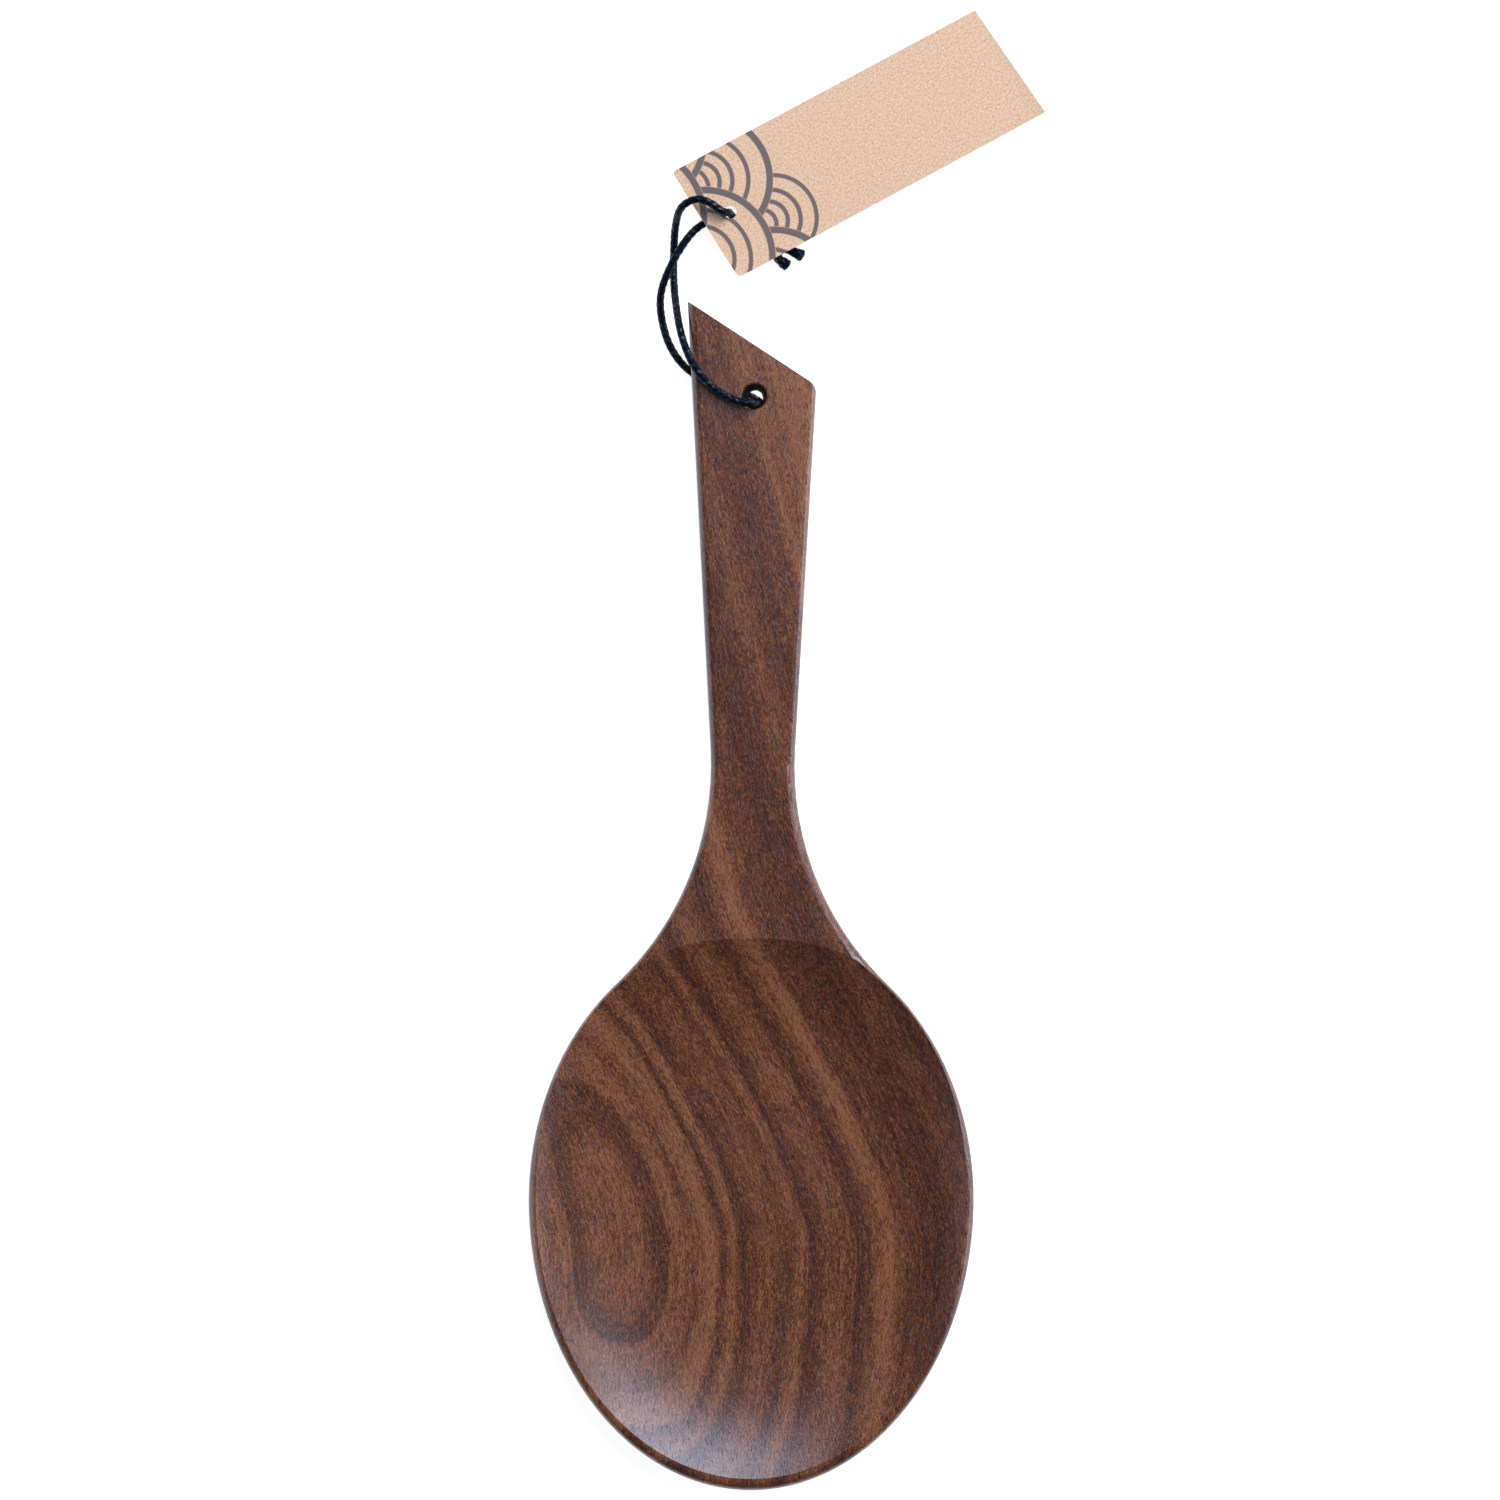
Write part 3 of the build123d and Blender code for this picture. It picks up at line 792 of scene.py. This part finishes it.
def card_finish():
    """Flecked kraft board with a grey print on its face."""
    card = Finish("printed_kraft")
    along, across = card_place(card)
    flat = card.vector(along, across, 0)
    mottle = card.noise(flat, MOTTLE_SCALE, 5, 0.75)
    grit = card.noise(flat, GRIT_SCALE, 2, 0.7)
    fibre = card.noise(card.vector(along * FIBRE_SCALES[0], across * FIBRE_SCALES[1], 0), 1.0, 3, 0.65)
    fleck_place = card.vector(along * FLECK_SCALES[0], across * FLECK_SCALES[1], FLECK_DEPTH)
    flecks = card.noise(fleck_place, 1.0, 1, 0.4)
    pulp = card.mix(mottle.rise(0.3, 0.7), KRAFT_PALE, KRAFT_DARK)
    pulp = card.mix(grit.rise(0.25, 0.7) * 0.75, pulp, KRAFT)
    pulp = card.mix(fibre.rise(0.5, 0.75) * 0.6, pulp, KRAFT_PALE)
    pulp = card.mix(flecks.rise(0.68, 0.78) * 0.5, pulp, KRAFT_FLECK)
    facing = card.node("ShaderNodeNewGeometry", output="Normal")
    upward = card.along(facing, (0, 0, 1)).rise(0.5, 0.8)
    ink = fan_print(along, across) * upward * (0.94 - fibre.rise(0.6, 0.8) * 0.12)
    return card.surface(
        Base_Color=card.mix(ink, pulp, INK),
        Roughness=0.85, IOR=1.45,
        Normal=card.bump(mottle * 0.6 + fibre * 0.4, 0.03 * MM, 0.5))


kraft = card_finish()
print("card finish with", len(kraft.node_tree.nodes), "nodes")

# %% [markdown]
# The card itself. It was cut a little out of square, and its corners are worn, most at the holed
# end where the cord tugs. A plain box would show neither. So the outline is drawn corner by corner,
# each one rounded by its own small curve between two points on its sides, and the hole is a ring
# of points inside it.

# %% Outline of the card
TAG_CORNERS = [(-1.5, 11.6), (0.1, -11.4), (65.1, -10.95), (62.5, 11.95)]
TAG_ROUNDS = [0.7, 1.2, 0.2, 0.2]        # how far each corner is worn round
ROUND_STEPS = 5
TAG_HOLE = Vector((4.5, 0.0))
TAG_HOLE_RADIUS = 1.2
TAG_HOLE_SIDES = 40
NET_STEP = 1.2               # distance between points of the card's net


def worn_corners():
    """The card's outline with its corners worn round."""
    corners = [Vector(corner) for corner in TAG_CORNERS]
    shares = [step / ROUND_STEPS for step in range(ROUND_STEPS + 1)]
    points = []
    for number, (corner, reach) in enumerate(zip(corners, TAG_ROUNDS)):
        start = corner + (corners[number - 1] - corner).normalized() * reach
        end = corner + (corners[(number + 1) % 4] - corner).normalized() * reach
        points += [start.lerp(corner, share).lerp(corner.lerp(end, share), share) for share in shares]
    return points


def closed_ring(first, count):
    """Edges that join a number of points in a ring."""
    return [(first + step, first + (step + 1) % count) for step in range(count)]


def card_outline():
    """Points round the card's edge and round its hole, and the edges between them."""
    worn = worn_corners()
    rim = []
    for start, end in zip(worn, worn[1:] + worn[:1]):
        steps = max(1, round((end - start).length / NET_STEP))
        rim += [start.lerp(end, step / steps) for step in range(steps)]
    turns = [math.tau * side / TAG_HOLE_SIDES for side in range(TAG_HOLE_SIDES)]
    ring = [TAG_HOLE + TAG_HOLE_RADIUS * Vector((math.cos(turn), math.sin(turn))) for turn in turns]
    return rim + ring, closed_ring(0, len(rim)) + closed_ring(len(rim), TAG_HOLE_SIDES)


print("card outline with", len(card_outline()[0]), "points")

# %% [markdown]
# A card bends, so its face needs points inside as well as round its edge. Blender can fill an
# outline with triangles through given points, which gives an even net around the hole without a
# single face drawn by hand. The triangles that lie in the hole are left out.

# %% Net of the card
NET_ROWS = 53
NET_COLUMNS = 8              # on each side of the card's middle
NET_SPREAD = 1.05            # columns stand this much wider apart than rows
NET_INSET = 0.5
HOLE_MARGIN = 0.5            # between the hole's edge and the nearest point of the net


def card_net():
    """Flat triangles that fill the card around its hole."""
    points, edges = card_outline()
    for row in range(NET_ROWS):
        for column in range(-NET_COLUMNS, NET_COLUMNS + 1):
            inner = Vector((row * NET_STEP + NET_INSET, column * NET_STEP * NET_SPREAD))
            if (inner - TAG_HOLE).length > TAG_HOLE_RADIUS + HOLE_MARGIN:
                points.append(inner)
    places, _, triangles, *_ = delaunay_2d_cdt(points, edges, [], 1, 1e-5)
    kept = []
    for triangle in triangles:
        middle = sum((places[corner] for corner in triangle), Vector((0, 0))) / 3
        if (middle - TAG_HOLE).length > TAG_HOLE_RADIUS * 0.98:
            kept.append(triangle)
    return places, kept


print("net of", len(card_net()[1]), "triangles")

# %% [markdown]
# The flat net is now lifted to its height at each point. The card leans on the knot with its holed
# end and sags a little towards the table, and the pull of the cord has curled its two near corners
# up. The net is used twice, for the back and for the face, and quads close the gap where an edge
# belongs to one triangle only. A bevel rounds the cut edges, which on thick board are never sharp.

# %% The card
TAG_LENGTH = 63.2
TAG_HALF_WIDTH = 11.5
TAG_THICKNESS = 0.5
TAG_LEAN = (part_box("hang_tag")[1].z / MM - TAG_THICKNESS) / TAG_LENGTH
TAG_SAG = 0.2
TAG_CLEARANCE = 0.02         # least height of the card's back above the table
CURL_HEIGHT = 0.3            # lift of the two near corners
CURL_LENGTH = 9.0
EDGE_BEVEL = 0.07 * MM
BEVEL_ANGLE = math.radians(50)


def card_height(along, across):
    """Height of the card's back above the table."""
    share = min(max(along / TAG_LENGTH, 0), 1)
    sag = 4 * TAG_SAG * share * (1 - share)
    curl = CURL_HEIGHT * (across / TAG_HALF_WIDTH) ** 4 * math.exp(-max(along, 0) / CURL_LENGTH)
    return max(TAG_LEAN * (TAG_LENGTH - along) - sag + curl, TAG_CLEARANCE)


def card_mesh():
    """The card's two faces and its cut edge."""
    places, triangles = card_net()
    flat = [Vector((*TAG_END, 0)) + TAG_AHEAD * place.x + TAG_SIDEWAYS * place.y for place in places]
    back = [from_hole((*spot.xy, card_height(*place))) for spot, place in zip(flat, places)]
    face = [point + Vector((0, 0, TAG_THICKNESS * MM)) for point in back]
    count = len(places)
    faces = [tuple(count + corner for corner in triangle) for triangle in triangles]
    faces += [tuple(reversed(triangle)) for triangle in triangles]
    sides = dict.fromkeys(pair for triangle in triangles
                          for pair in zip(triangle, (*triangle[1:], triangle[0])))
    rim = [pair for pair in sides if pair[::-1] not in sides]
    faces += [(first, second, count + second, count + first) for first, second in rim]
    mesh = bpy.data.meshes.new("kraft_card")
    mesh.from_pydata(back + face, [], faces)
    mesh.shade_smooth()
    return mesh


card = bpy.data.objects.new("kraft_card", card_mesh())
bpy.context.scene.collection.objects.link(card)
bevel = card.modifiers.new("soft_edge", "BEVEL")
bevel.width = EDGE_BEVEL
bevel.segments = 2
bevel.angle_limit = BEVEL_ANGLE
bevel.harden_normals = True
card.data.materials.append(kraft)
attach(card, "tag")
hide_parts("hang_tag")
print("card with", len(card.data.polygons), "faces")

# %% [markdown]
# The hanging hole. Its wall is a thin, nearly black lining that narrows and drifts towards the back, so
# the hole shows a dark ring around a small patch of table. The look could be painted on the board with a
# mask, but a thin lining gives the wall its dark ring without touching the board's faces. It is a closed
# band: a rough inner wall that narrows and drifts, and a plain outer wall.

# %% Wall of the hanging hole
HOLE_RADIUS = 2.24
HOLE_NARROWED = 1.38         # how far the rough wall is from the hole's middle at the back
LINING_THICKNESS = 0.03      # at the face
HOLE_DRIFT = 0.25            # how far to the right the rough wall drifts on its way down
WALL_TOP = FACE_HEIGHT / MM - 0.12
WALL_FLOOR = 2.5             # height of the board's back at the hole, and a little more
BACK_SLOPE = 0.07            # and how steeply it rises there towards the handle's end
WALL_SIDES = 64
WALL_STEPS = 12
TOOL_MARKS = [(0.02, 9, 2), (0.015, 23, 40)]     # height, number round the hole, and slant


def wall_point(radius, turn, share, drift):
    """Point of the lining at a share of the way down from the face to the back."""
    across = Vector((radius * math.cos(turn) + drift * share, radius * math.sin(turn), 0))
    floor = WALL_FLOOR + BACK_SLOPE * across.y
    return from_hole(across + Vector((0, 0, WALL_TOP + (floor - WALL_TOP) * share)))


def hole_wall_points():
    """Rows of points: the rough inner wall from the face down, then the outer one back up."""
    turns = [math.tau * side / WALL_SIDES for side in range(WALL_SIDES)]
    points = []
    for step in range(WALL_STEPS + 1):
        share = step / WALL_STEPS
        radius = HOLE_RADIUS - LINING_THICKNESS + (HOLE_NARROWED - HOLE_RADIUS) * share
        for turn in turns:
            rough = sum(high * math.sin(count * turn + slant * share) for high, count, slant in TOOL_MARKS)
            points.append(wall_point(radius + rough, turn, share, HOLE_DRIFT))
    for share in (1, 0):
        points += [wall_point(HOLE_RADIUS, turn, share, 0) for turn in turns]
    return points


def hole_wall_faces():
    """Quads between each row and the next, and from the last row back to the first."""
    faces = []
    rows = WALL_STEPS + 3
    for row in range(rows):
        low, high = row * WALL_SIDES, (row + 1) % rows * WALL_SIDES
        for side in range(WALL_SIDES):
            following = (side + 1) % WALL_SIDES
            faces.append((low + side, low + following, high + following, high + side))
    return faces


wall_mesh = bpy.data.meshes.new("hole_wall")
wall_mesh.from_pydata(hole_wall_points(), [], hole_wall_faces())
wall_mesh.shade_smooth()
hole_wall = bpy.data.objects.new("hole_wall", wall_mesh)
bpy.context.scene.collection.objects.link(hole_wall)
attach(hole_wall, "paddle")
print("hole wall with", len(hole_wall.data.polygons), "faces")

# %% [markdown]
# The lining is matt and nearly black, with a little brown in a cloud of noise. It needs a finish of its
# own, because it stays dull where the oiled board shines.

# %% Finish of the hole's wall
LINING_BLACK = paint(8, 6, 6)
LINING_BROWN = paint(30, 20, 16)
LINING_NOISE_SCALE = 2500            # changes per metre


def dark_lining_finish():
    """A matt, nearly black lining with a little brown."""
    hole_lining = Finish("dark_hole_lining")
    fibres = hole_lining.noise(hole_lining.place(), LINING_NOISE_SCALE, 3, 0.6)
    return hole_lining.surface(
        Base_Color=hole_lining.mix(fibres, LINING_BLACK, LINING_BROWN),
        Roughness=0.7 + fibres * 0.2, IOR=1.45,
        Normal=hole_lining.bump(fibres, 0.05 * MM, 0.6))


hole_wall.data.materials.append(dark_lining_finish())
print("scorched finish with", len(hole_wall.data.materials[0].node_tree.nodes), "nodes")

# %% [markdown]
# The paddle lies on plain white. Lamps that are strong enough to make a sheet white would bleach
# the walnut too, so the sheet glows by itself, but only where the camera sees it, directly or in a
# reflection. To all other light it is matt paint, which keeps the soft shadow under the paddle. It
# lies a hair below the board, so that the two never share a plane.

# %% Table
TABLE_SIZE = 4.0
TABLE_GAP = 0.1 * MM
TABLE_GLOW = 0.85
TABLE_WHITE = paint(232, 232, 233)
SEEN_RAYS = ("Is Camera Ray", "Is Glossy Ray", "Is Transmission Ray")


def table_finish():
    """Matt white that glows for the rays that are seen."""
    sheet = Finish("table_white")
    seen = sum(sheet.node("ShaderNodeLightPath", output=ray) for ray in SEEN_RAYS).at_most(1)
    matt = sheet.node("ShaderNodeBsdfDiffuse", None, {"Color": TABLE_WHITE})
    glow = sheet.node("ShaderNodeEmission", None, {"Color": (1, 1, 1, 1), "Strength": TABLE_GLOW})
    lit = sheet.node("ShaderNodeAddShader", None, (matt, glow))
    shown = sheet.node("ShaderNodeMixShader", None, (seen, matt, lit))
    sheet.node("ShaderNodeOutputMaterial", None, {"Surface": shown})
    return sheet.block


half = TABLE_SIZE / 2
corners = [(-half, -half, -TABLE_GAP), (half, -half, -TABLE_GAP), (half, half, -TABLE_GAP),
           (-half, half, -TABLE_GAP)]
table_mesh = bpy.data.meshes.new("table")
table_mesh.from_pydata(corners, [], [(0, 1, 2, 3)])
table_mesh.materials.append(table_finish())
table = bpy.data.objects.new("table", table_mesh)
bpy.context.scene.collection.objects.link(table)
print("table", TABLE_SIZE, "m across")

# %% [markdown]
# The light. A wide, slightly blue window beyond the handle's end lays its sheen in the lower part
# of the scoop, a warmer wall beside it lights the cord and the card, and two weak walls on the
# sides keep the board's edges from going black. Each lamp is given by the share of light that it
# lays on the table, so it can be moved nearer or further off without changing the exposure.

# %% Lamps
LAMPS = [                    # name, place, width and height, share of the table's light, colour
    ("window", (0.295, 0.63, 1.08), (1.0, 0.62), 0.43, (0.80, 0.88, 1.0)),
    ("far_wall", (0.55, 0.95, 0.72), (0.9, 0.5), 0.42, (1.0, 0.97, 0.93)),
    ("right_wall", (1.3, 0.0, 0.45), (1.0, 0.6), 0.12, (0.80, 0.88, 1.0)),
    ("left_wall", (-1.3, -0.1, 0.45), (1.0, 0.6), 0.06, (0.80, 0.88, 1.0)),
]

for name, place, (width, height), share, colour in LAMPS:
    place = Vector(place)
    slant = place.z / place.length
    light = bpy.data.lights.new(name, "AREA")
    light.shape = "RECTANGLE"
    light.size = width
    light.size_y = height
    light.energy = share * math.pi ** 2 * place.length ** 2 / slant
    light.color = colour
    lamp = bpy.data.objects.new(name, light)
    lamp.location = place
    lamp.rotation_euler = (-place).to_track_quat("-Z", "Y").to_euler()
    bpy.context.scene.collection.objects.link(lamp)
    print(name, round(light.energy, 1), "W")

# %% [markdown]
# The room around is a pale backdrop to the camera, and gives only a little even light to
# everything else, which fills the shadows as white walls would. Colours have to come out as they
# were written, so the picture is shown with the plain Standard view and no film look.

# %% Room
ROOM_COLOUR = (0.95, 0.97, 1, 1)
ROOM_LIGHT = 0.1             # light that comes evenly from all around
BACKDROP_GLOW = 0.9          # what the camera sees on top of that beyond the table's edge

room = Finish("pale_room", bpy.data.worlds.new("pale_room"))
brightness = room.node("ShaderNodeLightPath", output="Is Camera Ray") * BACKDROP_GLOW + ROOM_LIGHT
backdrop = room.node("ShaderNodeBackground", None, {"Color": ROOM_COLOUR, "Strength": brightness})
room.node("ShaderNodeOutputWorld", None, {"Surface": backdrop})
bpy.context.scene.world = room.block
bpy.context.scene.view_settings.view_transform = "Standard"
print("room light", ROOM_LIGHT, "of white")

# %% [markdown]
